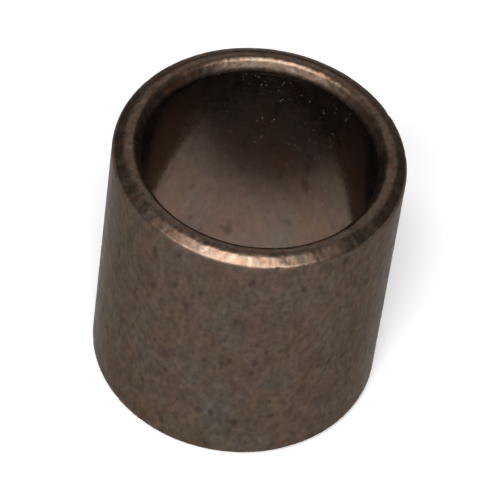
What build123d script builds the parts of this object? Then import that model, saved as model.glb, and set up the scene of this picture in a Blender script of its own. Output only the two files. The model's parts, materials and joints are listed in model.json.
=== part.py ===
"""Plain sleeve bushing of oil-impregnated sintered bronze.

The bushing is one piece: a thin-walled tube, pressed and sized from bronze powder, with a chamfer on the
outside and on the inside of each end. It is pressed into a housing, and a shaft turns in its bore.

Frame: millimetres, +Z along the bore, origin at the centre of the lower end face.
"""

import os

from build123d import *

# What the bushing fits between
shaft_diameter = 12.70  # a 1/2 in shaft, which runs in the bore
running_clearance = 0.05  # bore over shaft, on diameter
housing_diameter = 15.875  # a 5/8 in housing bore
press_interference = 0.05  # sleeve over housing, on diameter

# The bushing itself
sleeve_length = 16.67  # 21/32 in, from end face to end face
outer_chamfer_width = 0.68  # across the end face; this chamfer is the lead-in for pressing
outer_chamfer_depth = 0.42  # along the outside wall
bore_chamfer_width = 0.40  # across the end face
bore_chamfer_depth = 0.66  # along the bore

# Radii where the faces of the section meet, from the outside round to the bore
wall_blend = 0.40  # outside wall to outer chamfer
outer_land_blend = 0.70  # outer chamfer to end face
inner_land_blend = 0.35  # end face to inner chamfer
bore_blend = 0.90  # inner chamfer to bore

bore_radius = (shaft_diameter + running_clearance) / 2
outer_radius = (housing_diameter + press_interference) / 2

# Corners of the wall's section at the lower end, from the bore to the outside, as (radius, height).
# The upper end has the same corners, the other way up.
lower_corners = [
    (bore_radius, bore_chamfer_depth),
    (bore_radius + bore_chamfer_width, 0),
    (outer_radius - outer_chamfer_width, 0),
    (outer_radius, outer_chamfer_depth),
]
upper_corners = [(radius, sleeve_length - height) for radius, height in reversed(lower_corners)]

with BuildPart() as sleeve:
    with BuildSketch(Plane.XZ) as wall_section:
        with BuildLine():
            Polyline(*lower_corners, *upper_corners, close=True)
        make_face()
        # The corners come in pairs, upper and lower. A fillet replaces the ones it rounds, so each pair is
        # selected afresh, from the outside in, and the pairs nearer the bore keep their places in the list.
        for pair, radius in ((3, wall_blend), (2, outer_land_blend), (1, inner_land_blend), (0, bore_blend)):
            corners = wall_section.vertices().group_by(Axis.X)[pair]
            fillet(corners, radius=radius)
    revolve(axis=Axis.Z)

sleeve.part.label = "sleeve"

os.makedirs("parts", exist_ok=True)
export_step(sleeve.part, "parts/sleeve.step")
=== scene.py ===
import json
import math
import random

import bmesh
import bpy
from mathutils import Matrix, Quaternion, Vector, noise


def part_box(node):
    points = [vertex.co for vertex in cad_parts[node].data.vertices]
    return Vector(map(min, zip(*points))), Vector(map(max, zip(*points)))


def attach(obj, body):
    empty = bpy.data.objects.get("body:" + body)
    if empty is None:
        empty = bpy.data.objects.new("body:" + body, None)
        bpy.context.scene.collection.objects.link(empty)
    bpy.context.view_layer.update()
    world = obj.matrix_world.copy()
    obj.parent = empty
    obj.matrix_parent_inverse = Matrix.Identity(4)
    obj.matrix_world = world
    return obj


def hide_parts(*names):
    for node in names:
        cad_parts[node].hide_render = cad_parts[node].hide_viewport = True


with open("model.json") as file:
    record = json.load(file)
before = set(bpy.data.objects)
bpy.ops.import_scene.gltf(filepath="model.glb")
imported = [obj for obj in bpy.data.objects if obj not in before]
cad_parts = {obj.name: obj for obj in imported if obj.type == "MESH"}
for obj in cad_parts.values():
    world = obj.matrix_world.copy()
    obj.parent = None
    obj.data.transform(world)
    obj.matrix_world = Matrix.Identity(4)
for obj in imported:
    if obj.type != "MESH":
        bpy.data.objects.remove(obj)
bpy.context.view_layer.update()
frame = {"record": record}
record = frame["record"]
print("frame loaded")

mm = 0.001
sleeveLow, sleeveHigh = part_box("sleeve")
sleeveLength = sleeveHigh.z - sleeveLow.z
mountDims = {mount["name"]: mount["dims"] for mount in record["mounts"]}
boreRadius = mountDims["shaft_bore"]["r_mm"] * mm
outerRadius = mountDims["housing_seat"]["r_mm"] * mm
middleRadius = (boreRadius + outerRadius) / 2  # parts the bore's side of the wall from the outside

# camera

viewpoint = {
    "distance": 230 * mm,  # to the middle of the sleeve
    "elevation": 49.4,  # degrees above the floor
    "roll": 8.2,  # degrees, so that the sleeve leans to the right
    "lens": 301,
    "shift": (0.0074, 0.0018),
    "clipStart": 10 * mm,
}


def placeCamera(setup):
    target = Vector((0, 0, sleeveLow.z + sleeveLength / 2))
    tilt = math.radians(setup["elevation"])
    back = Vector((0, -math.cos(tilt), math.sin(tilt)))
    camera = bpy.data.objects.new("camera", bpy.data.cameras.new("camera"))
    bpy.context.collection.objects.link(camera)
    camera.location = target + back * setup["distance"]
    camera.rotation_mode = "QUATERNION"
    roll = Quaternion((0, 0, 1), math.radians(setup["roll"]))
    camera.rotation_quaternion = (-back).to_track_quat("-Z", "Y") @ roll
    camera.data.lens = setup["lens"]
    camera.data.shift_x, camera.data.shift_y = setup["shift"]
    camera.data.clip_start = setup["clipStart"]
    bpy.context.scene.camera = camera


placeCamera(viewpoint)
print("camera placed")

# the sleeve

sleeve = {
    "steps": 580,  # round the axis
    "outerChamferWidth": 0.68 * mm,
    "outerChamferDepth": 0.42 * mm,
    "boreChamferWidth": 0.40 * mm,
    "boreChamferDepth": 0.66 * mm,
    "wallBlend": 0.40 * mm,  # corner radii, from the outside wall round to the bore
    "landOuterBlend": 0.70 * mm,
    "landInnerBlend": 0.35 * mm,
    "boreBlend": 0.90 * mm,
    "blendSegments": 8,
    "outsideRows": 40,
    "boreRows": 30,
    "rimRows": 3,  # on each chamfer
    "shortEdge": 0.12 * mm,  # edges below this stay whole, such as the land's and the blends'
    "mergeGap": 0.0001 * mm,
    "sink": 0.003 * mm,  # the skin lies this much inside the true size
    "ripple": 0.006 * mm,  # long low waves of the sized surface
    "rippleScale": 260,
    "rimWear": 0.016 * mm,  # fine wear along the corners
    "rimDepth": 0.95 * mm,  # how far from an end the wear reaches
    "wearScale": 2200,
    "wearNoise": (0.8, 2.0, 3),  # fractal increment, lacunarity and octaves
    "wearLift": 0.3,  # added to the noise, which is worn away only where it is then above 0
    "nicks": 26,  # round each end
    "nickSeed": 4,
    "nickFromEnd": (0.35 * mm, 0.75 * mm),
    "nickInset": (0.0, 0.15 * mm),
    "nickRadius": (0.14 * mm, 0.32 * mm),
    "nickDepth": (0.008 * mm, 0.026 * mm),
    "rimPast": 0.10 * mm,  # how far the rim's finish goes on past a chamfer
    "rimFade": 0.16 * mm,  # over how far it fades away
}


def sleeveSection(setup):
    corners = [
        (boreRadius, setup["boreChamferDepth"]),
        (boreRadius + setup["boreChamferWidth"], 0),
        (outerRadius - setup["outerChamferWidth"], 0),
        (outerRadius, setup["outerChamferDepth"]),
    ]
    corners += [(radius, sleeveLength - height) for radius, height in reversed(corners)]
    bm = bmesh.new()
    points = [bm.verts.new((radius, 0, sleeveLow.z + height)) for radius, height in corners]
    for first, second in zip(points, points[1:] + points[:1]):
        bm.edges.new((first, second))
    return bm


# rounds one kind of corner; the bevel's offset runs along the edges, so it comes from the radius and the turn
def roundCorners(bm, corners, radius, setup):
    first, second = [(edge.other_vert(corners[0]).co - corners[0].co) for edge in corners[0].link_edges]
    turn = math.pi - first.angle(second)
    bmesh.ops.bevel(bm, geom=corners, offset=radius * math.tan(turn / 2), offset_type="OFFSET",
                    affect="VERTICES", segments=setup["blendSegments"], profile=0.5, material=-1)


def blendCorners(bm, setup):
    outwards = sorted(bm.verts, key=lambda v: v.co.x)
    for index, kind in enumerate(("boreBlend", "landInnerBlend", "landOuterBlend", "wallBlend")):
        roundCorners(bm, outwards[2 * index:2 * index + 2], setup[kind], setup)


def divideSection(bm, setup):
    for edge in list(bm.edges):
        length = edge.calc_length()
        if length < setup["shortEdge"]:
            continue
        cuts = setup["rimRows"]
        if length > sleeveLength / 2:
            cuts = setup["boreRows"] if edge.verts[0].co.x < middleRadius else setup["outsideRows"]
        bmesh.ops.subdivide_edges(bm, edges=[edge], cuts=cuts)


# small dents along the outer corners, as (place, radius, depth)
def layNicks(setup):
    dice = random.Random(setup["nickSeed"])
    nicks = []
    for end, inward in ((sleeveLow.z, 1), (sleeveHigh.z, -1)):
        for _ in range(setup["nicks"]):
            angle = dice.uniform(0, math.tau)
            height = end + inward * dice.uniform(*setup["nickFromEnd"])
            radius = outerRadius - dice.uniform(*setup["nickInset"])
            place = Vector((radius * math.cos(angle), radius * math.sin(angle), height))
            nicks.append((place, dice.uniform(*setup["nickRadius"]), dice.uniform(*setup["nickDepth"])))
    return nicks


def wearSkin(bm, setup):
    nicks = layNicks(setup)
    for v in bm.verts:
        point = v.co.copy()
        endGap = min(point.z - sleeveLow.z, sleeveHigh.z - point.z)
        rimShare = max(0.0, 1 - endGap / setup["rimDepth"])
        cut = setup["sink"] + setup["ripple"] * (noise.noise(point * setup["rippleScale"]) + 1) / 2
        if rimShare:
            fine = noise.fractal(point * setup["wearScale"], *setup["wearNoise"])
            cut += setup["rimWear"] * rimShare * max(0.0, fine + setup["wearLift"])
            for place, size, depth in nicks:
                gap = (point - place).length / size
                if gap < 1:
                    cut += depth * (1 - gap * gap) ** 2
        v.co = point - v.normal * cut


# how much each vertex belongs to the rim, and whether it is in the bore, for the material to read
def markZones(mesh, setup):
    rim = mesh.attributes.new("rimShare", "FLOAT", "POINT")
    bore = mesh.attributes.new("boreShare", "FLOAT", "POINT")
    for index, v in enumerate(mesh.vertices):
        endGap = min(v.co.z - sleeveLow.z, sleeveHigh.z - v.co.z)
        inside = Vector((v.co.x, v.co.y)).length < middleRadius
        depth = setup["boreChamferDepth"] if inside else setup["outerChamferDepth"]
        share = (depth + setup["rimPast"] - endGap) / setup["rimFade"]
        rim.data[index].value = min(1.0, max(0.0, share))
        bore.data[index].value = 1.0 if inside else 0.0


def makeSleeve(setup):
    bm = sleeveSection(setup)
    blendCorners(bm, setup)
    divideSection(bm, setup)
    bmesh.ops.spin(bm, geom=bm.verts[:] + bm.edges[:], axis=(0, 0, 1), cent=(0, 0, 0), angle=math.tau,
                   steps=setup["steps"], use_merge=True)
    bmesh.ops.remove_doubles(bm, verts=bm.verts, dist=setup["mergeGap"])
    bmesh.ops.recalc_face_normals(bm, faces=bm.faces)
    bm.normal_update()
    wearSkin(bm, setup)
    for face in bm.faces:
        face.smooth = True
    mesh = bpy.data.meshes.new("bronze_sleeve")
    bm.to_mesh(mesh)
    bm.free()
    markZones(mesh, setup)
    piece = bpy.data.objects.new("bronze_sleeve", mesh)
    bpy.context.collection.objects.link(piece)
    return piece


bronzeSleeve = makeSleeve(sleeve)
print("sleeve turned:", len(bronzeSleeve.data.polygons), "faces")

# bronze

# a cloud is (scale, detail, noise from, noise to, value from, value to)
sinteredBronze = {
    "outside": (0.0640, 0.0449, 0.0350),
    "rim": (0.105, 0.074, 0.056),
    # the bore's colour is partly its burnished finish and partly painted light: it is several times lighter
    # than the outside's, so that the lit patch reflected inside the bore comes out bright
    "bore": (0.258, 0.186, 0.153),
    "edgeTint": (0.49, 0.475, 0.46),
    "outsideRoughness": 0.42,
    "rimRoughness": 0.36,
    "boreRoughness": 0.16,
    "roughPatches": (1500, 4, 0.30, 0.70, -0.05, 0.06),
    "oil": 0.06,  # weight of the oil film
    "oilRoughness": 0.60,
    "drawnScale": 0.62,  # along the axis, so patterns are longer the way the powder was pressed

    # oxides, as their colour on the outside, the pattern's shift, and the cloud
    "russet": ((0.0801, 0.0446, 0.0316), 0.020, (800, 6, 0.47, 0.68, 0, 0.50)),
    "slate": ((0.0592, 0.0526, 0.0448), 0.035, (420, 6, 0.47, 0.68, 0, 0.65)),
    "olive": ((0.0608, 0.0478, 0.0305), 0.050, (520, 6, 0.47, 0.68, 0, 0.60)),
    "oxideOnRim": 0.5,  # how much of it the rim keeps
    "rust": (1.05, 0.86, 0.74),  # times the rim's colour, in its stains
    "rustShift": 0.065,
    "rustStains": (2100, 4, 0.46, 0.66, 0, 1),

    # grains of powder, times the colour
    "fineGrain": (3300, 2, 0.30, 0.70, 0.78, 1.22),
    "broadGrain": (1300, 3, 0.30, 0.70, 0.84, 1.16),
    "rimGrain": (4400, 4, 0.34, 0.66, 0.70, 1.34),
    "rimGrainShare": 0.6,
    "boreCalm": 0.6,  # how much of the grain is smoothed off the bore's wall

    "pore": (0.024, 0.017, 0.013),
    "poreScale": 1500,
    "poreSizes": (0.15, 1.0, 0.02, 0.27),  # a pore's lot from and to, its radius from and to, in cells
    "poreEdge": (-0.08, 0.12),
    "poreShade": 0.60,
    "poreInBore": 0.5,  # how much of them is left in the bore
    "smudgeShift": 0.083,
    "smudgeScale": 0.5,  # along the axis
    "smudges": (640, 2, 0.62, 0.74, 0, 0.5),

    # flecks, as (scale, radius in cells, share of the cells)
    "dust": (0.095, 0.088, 0.080),
    "specks": (2500, 0.10, 0.16),
    "hairs": (2200, 0.07, 0.9),
    "hairScale": 0.08,  # along a hair
    "hairTurns": ((35, 0, 25), (-50, 0, 70)),
    "fleckCore": 0.4,  # of its radius, within which a fleck is at full strength
    "lotEdge": 0.01,

    "streaks": (16, 4),  # scale and detail
    "streakRoughness": (0.35, 0.65, -0.04, 0.07),
    "grain": (3900, 3),
    "rimSparkle": (5200, 3),
    "poreDrop": 0.6,  # heights, next to the grain's 1
    "streakRise": 0.8,
    "sparkleRise": 0.9,
    "grainDepth": 0.012 * mm,
    "grainStrength": 0.5,
}


def bronze(setup):
    material = bpy.data.materials.new("sinteredBronze")
    material.use_nodes = True
    nodes, links = material.node_tree.nodes, material.node_tree.links
    shader = nodes["Principled BSDF"]
    place = nodes.new("ShaderNodeTexCoord").outputs["Object"]

    def feed(socket, value):
        if isinstance(value, tuple):
            socket.default_value = (*value, 1) if len(socket.default_value) == 4 else value
        elif isinstance(value, (int, float)):
            socket.default_value = value
        else:
            links.new(value, socket)

    def moved(scale, turn=(0, 0, 0), shift=(0, 0, 0)):
        mapping = nodes.new("ShaderNodeMapping")
        mapping.inputs["Location"].default_value = shift
        mapping.inputs["Rotation"].default_value = [math.radians(angle) for angle in turn]
        mapping.inputs["Scale"].default_value = scale
        links.new(place, mapping.inputs["Vector"])
        return mapping.outputs["Vector"]

    def zone(name):
        reader = nodes.new("ShaderNodeAttribute")
        reader.attribute_name = name
        return reader.outputs["Fac"]

    def remap(value, low, high, toLow=0.0, toHigh=1.0):
        stretch = nodes.new("ShaderNodeMapRange")
        for name, number in (("From Min", low), ("From Max", high), ("To Min", toLow), ("To Max", toHigh)):
            feed(stretch.inputs[name], number)
        links.new(value, stretch.inputs["Value"])
        return stretch.outputs["Result"]

    def noiseAt(vector, scale, detail):
        texture = nodes.new("ShaderNodeTexNoise")
        texture.inputs["Scale"].default_value = scale
        texture.inputs["Detail"].default_value = detail
        links.new(vector, texture.inputs["Vector"])
        return texture.outputs["Fac"]

    def cloud(vector, look):
        scale, detail, *limits = look
        return remap(noiseAt(vector, scale, detail), *limits)

    # distance to the middle of a cell, and the cell's own random lots
    def cells(vector, scale):
        texture = nodes.new("ShaderNodeTexVoronoi")
        texture.inputs["Scale"].default_value = scale
        links.new(vector, texture.inputs["Vector"])
        lots = nodes.new("ShaderNodeSeparateColor")
        links.new(texture.outputs["Color"], lots.inputs["Color"])
        return texture.outputs["Distance"], lots.outputs

    def maths(operation, first, second):
        step = nodes.new("ShaderNodeMath")
        step.operation = operation
        feed(step.inputs[0], first)
        feed(step.inputs[1], second)
        return step.outputs["Value"]

    def vectorMaths(operation, first, second=None):
        step = nodes.new("ShaderNodeVectorMath")
        step.operation = operation
        feed(step.inputs[0], first)
        if second is not None:
            feed(step.inputs["Scale"] if operation == "SCALE" else step.inputs[1], second)
        return step.outputs["Vector"]

    # the Mix node has sockets A, B and Result for each kind of value
    def mixed(kind, socketKind, share, first, second, way="MIX"):
        mix = nodes.new("ShaderNodeMix")
        mix.data_type, mix.blend_type = kind, way
        socketA, socketB = [s for s in mix.inputs if s.name in ("A", "B") and s.type == socketKind]
        feed(mix.inputs["Factor"], share)
        feed(socketA, first)
        feed(socketB, second)
        return [s for s in mix.outputs if s.type == socketKind][0]

    def blend(share, first, second, way="MIX"):
        return mixed("RGBA", "RGBA", share, first, second, way)

    def between(share, first, second):
        return mixed("FLOAT", "VALUE", share, first, second)

    def flecks(vector, look):
        scale, radius, share = look
        distance, lots = cells(vector, scale)
        chosen = remap(lots["Green"], 1 - share, 1 - share + setup["lotEdge"])
        return maths("MULTIPLY", remap(distance, radius, radius * setup["fleckCore"]), chosen)

    drawn = moved((1, 1, setup["drawnScale"]))
    rimShare, boreShare = zone("rimShare"), zone("boreShare")
    boreWall = maths("MULTIPLY", boreShare, maths("SUBTRACT", 1.0, rimShare))

    # the same all along a radius, so its noise makes streaks across the rim
    around = vectorMaths("NORMALIZE", moved((1, 1, 0)))
    streaks = noiseAt(around, *setup["streaks"])

    # bare metal under clouds of oxide, and rust stains on the rim
    # the bore's lighter colour here is partly painted light
    colour = blend(boreShare, setup["outside"], setup["bore"])
    colour = blend(rimShare, colour, setup["rim"])
    keptOxide = remap(rimShare, 0, 1, 1.0, setup["oxideOnRim"])
    for name in ("russet", "slate", "olive"):
        tone, shift, look = setup[name]
        oxide = cloud(moved((1, 1, setup["drawnScale"]), shift=(shift, shift, 0)), look)
        change = tuple(part / whole for part, whole in zip(tone, setup["outside"]))
        colour = blend(maths("MULTIPLY", oxide, keptOxide), colour, change, "MULTIPLY")
    stains = cloud(moved((1, 1, 1), shift=(setup["rustShift"], 0, 0)), setup["rustStains"])
    stains = blend(maths("MULTIPLY", stains, rimShare), (1.0, 1.0, 1.0), setup["rust"])
    colour = vectorMaths("MULTIPLY", colour, stains)

    # grains of powder
    grains = maths("MULTIPLY", cloud(drawn, setup["fineGrain"]), cloud(drawn, setup["broadGrain"]))
    rimGrains = cloud(place, setup["rimGrain"])
    grains = between(maths("MULTIPLY", rimShare, setup["rimGrainShare"]), grains, rimGrains)
    grains = between(maths("MULTIPLY", boreWall, setup["boreCalm"]), grains, 1.0)
    colour = vectorMaths("SCALE", colour, grains)

    # pores
    distance, lots = cells(drawn, setup["poreScale"])
    poreSize = remap(lots["Red"], *setup["poreSizes"])
    pores = remap(maths("SUBTRACT", poreSize, distance), *setup["poreEdge"])
    pores = maths("MULTIPLY", pores, remap(boreShare, 0, 1, 1.0, setup["poreInBore"]))
    colour = blend(maths("MULTIPLY", pores, setup["poreShade"]), colour, setup["pore"])

    # a few dark smudges of old oil in the bore
    smudges = cloud(moved((1, 1, setup["smudgeScale"]), shift=(setup["smudgeShift"], 0, 0)), setup["smudges"])
    colour = blend(maths("MULTIPLY", smudges, boreShare), colour, setup["pore"])

    # dust and hairline scratches, only on the bore's own wall
    dust = flecks(place, setup["specks"])
    for turn in setup["hairTurns"]:
        dust = maths("MAXIMUM", dust, flecks(moved((1, setup["hairScale"], 1), turn=turn), setup["hairs"]))
    dust = maths("MULTIPLY", dust, boreWall)
    colour = blend(dust, colour, setup["dust"])

    rough = remap(boreShare, 0, 1, setup["outsideRoughness"], setup["boreRoughness"])
    rough = maths("ADD", cloud(place, setup["roughPatches"]), rough)
    rimRough = maths("ADD", remap(streaks, *setup["streakRoughness"]), setup["rimRoughness"])

    # heights of the grain, its pores, and the rim's streaks and sparkle
    height = maths("SUBTRACT", noiseAt(drawn, *setup["grain"]), maths("MULTIPLY", pores, setup["poreDrop"]))
    sparkle = noiseAt(place, *setup["rimSparkle"])
    for pattern, rise in ((streaks, setup["streakRise"]), (sparkle, setup["sparkleRise"])):
        height = maths("ADD", height, maths("MULTIPLY", maths("MULTIPLY", pattern, rimShare), rise))
    bump = nodes.new("ShaderNodeBump")
    feed(bump.inputs["Strength"], setup["grainStrength"])
    feed(bump.inputs["Distance"], setup["grainDepth"])
    feed(bump.inputs["Height"], height)

    feed(shader.inputs["Base Color"], colour)
    feed(shader.inputs["Metallic"], maths("SUBTRACT", 1.0, dust))
    feed(shader.inputs["Roughness"], between(rimShare, rough, rimRough))
    feed(shader.inputs["Specular Tint"], setup["edgeTint"])
    feed(shader.inputs["Coat Weight"], setup["oil"])
    feed(shader.inputs["Coat Roughness"], setup["oilRoughness"])
    feed(shader.inputs["Normal"], bump.outputs["Normal"])
    return material


bronzeSleeve.data.materials.append(bronze(sinteredBronze))
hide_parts("sleeve")
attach(bronzeSleeve, "root")
print("bronze made")

# studio

studio = {
    "floorSize": 4.0,
    "floorColour": (0.70, 0.70, 0.70, 1),
    "floorRoughness": 0.9,
    "ambient": 0.07,
    "ambientColour": (1, 1, 1, 1),
    "front": {"direction": (-0.06, -0.73, 0.68), "distance": 0.36, "size": (0.48, 0.22), "radiance": 10.0},
    "high": {"direction": (-0.060, -0.382, 0.922), "distance": 0.45, "size": (0.23, 0.065), "radiance": 27.0},
    "over": {"direction": (0.02, -0.20, 0.98), "distance": 0.45, "size": (0.16, 0.07), "radiance": 1.2},
    "behind": {"direction": (0, 0.70, 0.71), "distance": 0.50, "size": (0.60, 0.30), "radiance": 0.80},
}


def softbox(name, setup):
    width, height = setup["size"]
    lamp = bpy.data.lights.new(name, "AREA")
    lamp.shape, lamp.size, lamp.size_y = "RECTANGLE", width, height
    lamp.energy = setup["radiance"] * math.pi * width * height
    towards = Vector(setup["direction"]).normalized()
    holder = bpy.data.objects.new(name, lamp)
    holder.location = towards * setup["distance"]
    holder.rotation_mode = "QUATERNION"
    holder.rotation_quaternion = towards.to_track_quat("Z", "Y")
    bpy.context.collection.objects.link(holder)


def layFloor(setup):
    bm = bmesh.new()
    bmesh.ops.create_grid(bm, x_segments=1, y_segments=1, size=setup["floorSize"] / 2)
    bmesh.ops.translate(bm, verts=bm.verts, vec=(0, 0, sleeveLow.z))
    mesh = bpy.data.meshes.new("floor")
    bm.to_mesh(mesh)
    bm.free()
    floor = bpy.data.objects.new("floor", mesh)
    bpy.context.collection.objects.link(floor)
    paper = bpy.data.materials.new("paleFloor")
    paper.use_nodes = True
    shader = paper.node_tree.nodes["Principled BSDF"]
    shader.inputs["Base Color"].default_value = setup["floorColour"]
    shader.inputs["Roughness"].default_value = setup["floorRoughness"]
    shader.inputs["Specular IOR Level"].default_value = 0.0
    mesh.materials.append(paper)


def fillRoom(setup):
    world = bpy.data.worlds.new("room")
    world.use_nodes = True
    background = world.node_tree.nodes["Background"]
    background.inputs["Strength"].default_value = setup["ambient"]
    background.inputs["Color"].default_value = setup["ambientColour"]
    bpy.context.scene.world = world


layFloor(studio)
for lampName in ("front", "high", "over", "behind"):
    softbox(lampName, studio[lampName])
fillRoom(studio)
bpy.context.scene.view_settings.view_transform = "Standard"
print("studio lit")
